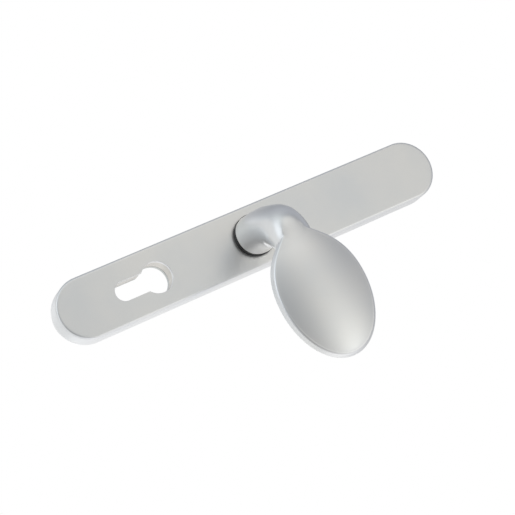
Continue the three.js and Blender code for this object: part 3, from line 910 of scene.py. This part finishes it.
# %% Spindle
spindle_low, spindle_high = extent("spindle")
bm = bmesh.new()
bmesh.ops.create_cube(bm, size=1.0)
size = spindle_high - spindle_low
bmesh.ops.scale(bm, vec=size, verts=bm.verts[:])
bmesh.ops.translate(bm, vec=(spindle_low + spindle_high) / 2, verts=bm.verts[:])
ends = [e for e in bm.edges if abs(e.verts[0].co.y - e.verts[1].co.y) < 0.01]
soften(bm, ends, 1.0, 1)
soften(bm, [e for e in bm.edges if abs(e.verts[0].co.y - e.verts[1].co.y) > 20], 0.35, 3)
finish_piece(bm, "square_bar", "handle", zinc_steel, "zinc_steel", "spindle")

# %% Grub screw
grub_low, grub_high = extent("spindle_grub_screw")
GRUB_RADIUS, GRUB_RIM, GRUB_DRIVE = 2.3, 1.6, 2.0
bm = bmesh.new()
section = [(0.0, grub_low.z), (1.3, grub_low.z)]
section += thread(GRUB_RADIUS, grub_low.z + 0.5, grub_high.z - 0.3, 0.7, 0.25)
section += [(GRUB_RADIUS - 0.25, grub_high.z), (GRUB_RIM, grub_high.z)]
turn(bm, section, steps=36)
bmesh.ops.remove_doubles(bm, verts=bm.verts[:], dist=0.002)
drive(bm, open_rim(bm, GRUB_RIM, grub_high.z, 0, 0), grub_high.z, grub_high.z - GRUB_DRIVE, 1.3, 0, 0)
bmesh.ops.rotate(bm, cent=(0, 0, 0), matrix=Matrix.Rotation(-pi / 2, 3, "X"), verts=bm.verts[:])
bmesh.ops.translate(bm, vec=(0, (grub_low.y + grub_high.y) / 2, 0), verts=bm.verts[:])
finish_piece(bm, "socket_grub_screw", "handle", plated_steel, "hardened_steel", "spindle_grub_screw")

# %% [markdown]
# The cylinder guard is a hardened block that hides behind the cover and leaves only the
# key-way of the cut-out open, so that the cylinder can't be gripped and snapped.

# %% Cylinder guard
GUARD_BACK, GUARD_FRONT = -guard_high.y, -guard_low.y
bm = bmesh.new()
half = guard_high.x
straight_low, straight_high = guard_low.z + half, guard_high.z - half
levels = [(0.4, GUARD_BACK), (0, GUARD_BACK + 0.4), (0, GUARD_FRONT - 0.4), (0.4, GUARD_FRONT)]
outer = [
    Pen(bm, half - inset, straight_high, out).arc(0, straight_high, 180, 48)
    .line(inset - half, straight_low).arc(0, straight_low, 180, 48).close()
    for inset, out in levels
]
bridge(bm, *outer)
inner = [cutout(bm, SEAT, GUARD_BACK), cutout(bm, SEAT, GUARD_FRONT)]
bridge(bm, *inner)
blind = []
for node in ("guard_screw_left", "guard_screw_right"):
    x, z, back, tip_out = middle_of(node)
    hole = [circle(bm, 1.8, out, x, z, 32) for out in (GUARD_BACK, tip_out + SEAT)]
    bridge(bm, *hole)
    bmesh.ops.holes_fill(bm, edges=hole[1], sides=0)
    blind.append(hole[0])
fill(bm, outer[0], inner[0], *blind)
fill(bm, outer[-1], inner[1])
finish_piece(bm, "hardened_block", "backplate", plated_steel, "hardened_steel", "cylinder_guard")

# %% [markdown]
# The return spring is one open turn of drawn wire. A round section is spun about the
# spindle's axis, and its two ends are rounded as cropped and tumbled wire is.

# %% Return spring
spring_low, spring_high = extent("return_spring")
WIRE = spring_high.y - spring_low.y
SPRING_RADIUS = spring_high.x - WIRE / 2
SPRING_OUT = -(spring_low.y + spring_high.y) / 2
END_GAP = 9
bm = bmesh.new()
section = bmesh.ops.create_circle(bm, cap_ends=False, segments=20, radius=WIRE / 2)["verts"]
bmesh.ops.translate(bm, vec=(SPRING_RADIUS, -SPRING_OUT, 0), verts=section)
start = Matrix.Rotation(radians(-(90 + END_GAP)), 3, "Y")
bmesh.ops.rotate(bm, cent=(0, 0, 0), matrix=start, verts=section)
lines = list({e for v in section for e in v.link_edges})
made = bmesh.ops.spin(
    bm, geom=section + lines, cent=(0, 0, 0), axis=UP_AXIS,
    angle=-radians(360 - 2 * END_GAP), steps=140, use_duplicate=False,
)
caps = bmesh.ops.holes_fill(bm, edges=[e for e in bm.edges if e.is_boundary], sides=0)["faces"]
soften(bm, {e for f in caps for e in f.edges}, 0.3, 3)
finish_piece(bm, "return_wire", "handle", spring_steel, "spring_steel", "return_spring")

# %% [markdown]
# The retaining ring is stamped spring steel: an open ring with a hole in each end for the
# pliers. The outline and the holes are drawn at both faces, bridged, and the faces filled.

# %% Retaining ring
RING_BACK, RING_FRONT = -ring_high.y, -ring_low.y
RING_OUTER, RING_INNER = ring_high.z, TAIL_RADIUS - 0.6
RING_GAP = 20
EYE_AT, EYE_RADIUS = 9.05, 0.6
bm = bmesh.new()
mouth = [
    Pen(bm, RING_OUTER * cos(radians(RING_GAP)), RING_OUTER * sin(radians(RING_GAP)), out)
    .arc(0, 0, 360 - 2 * RING_GAP, 96)
    .line(RING_INNER * cos(radians(RING_GAP)), -RING_INNER * sin(radians(RING_GAP)))
    .arc(0, 0, -(360 - 2 * RING_GAP), 96).close()
    for out in (RING_BACK, RING_FRONT)
]
bridge(bm, *mouth)
eyes = []
for side in (-1, 1):
    angle = radians(RING_GAP + 7) * side
    x, z = EYE_AT * cos(angle), EYE_AT * sin(angle)
    eye = [circle(bm, EYE_RADIUS, out, x, z, 20) for out in (RING_BACK, RING_FRONT)]
    bridge(bm, *eye)
    eyes.append(eye)
for i in (0, 1):
    fill(bm, mouth[i], *[eye[i] for eye in eyes])
finish_piece(bm, "circlip", "handle", spring_steel, "spring_steel", "retaining_ring")

# %% [markdown]
# The rest of the mechanism keeps its CAD shape, which is the true one: a die-cast
# housing, its steel cover, the driver and two washers. Each gets its own finish.

# %% Finishes of the parts kept from the CAD
KEPT = {
    "spring_housing": die_cast_zinc, "spring_housing_cover": zinc_steel, "spring_driver": zinc_steel,
    "thrust_washer": black_acetal, "wave_washer": spring_steel,
}
for node, finish in KEPT.items():
    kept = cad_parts[node]
    kept.data.materials.clear()
    kept.data.materials.append(finish)
print("kept from the CAD:", ", ".join(KEPT))

# %% [markdown]
# ## Camera
#
# The camera looks at the set from below and a little to the right of it, and is rolled
# so that the plate climbs to the right. A long lens keeps the perspective gentle.

# %% Camera
camera_data = bpy.data.cameras.new("camera")
camera = bpy.data.objects.new("camera", camera_data)
bpy.context.scene.collection.objects.link(camera)
bpy.context.scene.camera = camera
TURNED, LOOKING_UP, ROLL = 8.444, 23.664, 66.40
CAMERA_PLACE = (0.13181, -0.82022, -0.36193)
camera.matrix_world = (
    Matrix.Translation(CAMERA_PLACE)
    @ Matrix.Rotation(radians(TURNED), 4, "Z")
    @ Matrix.Rotation(radians(90 + LOOKING_UP), 4, "X")
    @ Matrix.Rotation(radians(ROLL), 4, "Z")
)
camera_data.sensor_width = 36.0
camera_data.lens = 113.29
print("camera at", [round(c, 3) for c in camera.location], "m with a", camera_data.lens, "mm lens")

# %% [markdown]
# ## Light
#
# A satin metal has no look of its own: it shows a blurred picture of what stands round
# it. So the room matters more than the lamps. A few broad soft boxes are drawn straight
# into the world: each is a direction, a spread and a brightness, and the brightness
# falls away smoothly from the direction. What the camera sees past the set stays white.

# %% The room
# Each soft box: degrees round from the front (to the pad's side is positive), degrees up,
# spread in degrees, brightness and tint.
SOFT_BOXES = [
    (14, 26, 12, 0.92, "#FFFFF8"),
    (-26, 20, 12, 0.73, "#FFFBF3"),
    (40, 20, 14, 0.41, "#FFFFFF"),
    (-52, -6, 19, 0.55, "#F8FFFF"),
    (-34, -40, 19, 1.09, "#F4F9FF"),
    (-90, 20, 25, 0.26, "#F3F6FF"),
    (-122, -42, 28, 0.76, "#F4F9FF"),
    (-170, -20, 20, 0.62, "#FCFDFF"),
    (95, -6, 40, 1.13, "#FDFDFF"),
    (176, 12, 20, 0.6, "#FFFEFC"),
    (158, -34, 18, 0.55, "#FFFFFF"),
    (-108, 76, 42, 0.41, "#EEF3FF"),
]
ROOM_LEVEL = 0.03


def heading(azimuth, elevation):
    """A direction from degrees round from the front and degrees up."""
    a, e = radians(azimuth), radians(elevation)
    return Vector((sin(a) * cos(e), -cos(a) * cos(e), sin(e)))


world = bpy.data.worlds.new("room_of_soft_boxes")
bpy.context.scene.world = world
world.use_nodes = True
tree = world.node_tree
tree.nodes.clear()
way = add(tree, "ShaderNodeTexCoord").outputs["Generated"]
total = (ROOM_LEVEL, ROOM_LEVEL, ROOM_LEVEL * 1.04)
for azimuth, elevation, spread, brightness, tint in SOFT_BOXES:
    middle = heading(azimuth, elevation)
    near = add(tree, "ShaderNodeVectorMath", {"operation": "DOT_PRODUCT"}, _0=way, _1=middle)
    sharp = 1 / radians(spread) ** 2
    fall = add(tree, "ShaderNodeMath", {"operation": "MULTIPLY_ADD"},
               _0=near.outputs["Value"], _1=sharp, _2=-sharp)
    glow = add(tree, "ShaderNodeMath", {"operation": "EXPONENT"}, _0=fall.outputs["Value"])
    colour = [brightness * c for c in linear(tint)[:3]]
    total = add(tree, "ShaderNodeVectorMath", {"operation": "MULTIPLY_ADD"},
                _0=glow.outputs["Value"], _1=colour, _2=total).outputs["Vector"]
seen = add(tree, "ShaderNodeLightPath").outputs["Is Camera Ray"]
backdrop = add(tree, "ShaderNodeMix", {"data_type": "RGBA"}, _0=seen, _6=total, _7=(1, 1, 1, 1))
shine = add(tree, "ShaderNodeBackground", Color=backdrop.outputs[2])
add(tree, "ShaderNodeOutputWorld", Surface=shine.outputs["Background"])
print("the room has", len(SOFT_BOXES), "soft boxes")

# %% [markdown]
# An overhead lamp lights the floor, which the undersides of the neck and the pad reflect.
# The lamp itself is kept out of the reflections.

# %% The overhead lamp
LAMP_HEIGHT, LAMP_FORWARD, LAMP_SIZE, LAMP_WATTS = 1.4, -0.1, 1.6, 16.5
lamp = bpy.data.lights.new("overhead_lamp", "AREA")
lamp.shape = "SQUARE"
lamp.size = LAMP_SIZE
lamp.energy = LAMP_WATTS
overhead = bpy.data.objects.new("overhead_lamp", lamp)
bpy.context.scene.collection.objects.link(overhead)
overhead.location = (0, LAMP_FORWARD, LAMP_HEIGHT)
overhead.visible_glossy = False
bpy.context.scene.view_settings.view_transform = "Standard"
print("overhead lamp of", LAMP_WATTS, "W")

# %% The floor
FLOOR_DROP, FLOOR_HALF, FLOOR_BACK = 0.45, 0.8, 0.5
floor_bm = bmesh.new()
bmesh.ops.create_grid(floor_bm, x_segments=8, y_segments=8, size=FLOOR_HALF)
bmesh.ops.translate(floor_bm, vec=(0, FLOOR_BACK, -FLOOR_DROP), verts=floor_bm.verts[:])
floor_mesh = bpy.data.meshes.new("floor")
floor_bm.to_mesh(floor_mesh)
floor_bm.free()
floor = bpy.data.objects.new("floor", floor_mesh)
bpy.context.scene.collection.objects.link(floor)
floor_paint, tree, shader = new_material("pale_painted_floor")
shader.inputs["Base Color"].default_value = linear("#F2F2F0")
shader.inputs["Roughness"].default_value = 0.8
floor_mesh.materials.append(floor_paint)
print("floor", 2 * FLOOR_HALF, "m square,", FLOOR_DROP, "m below the spindle")
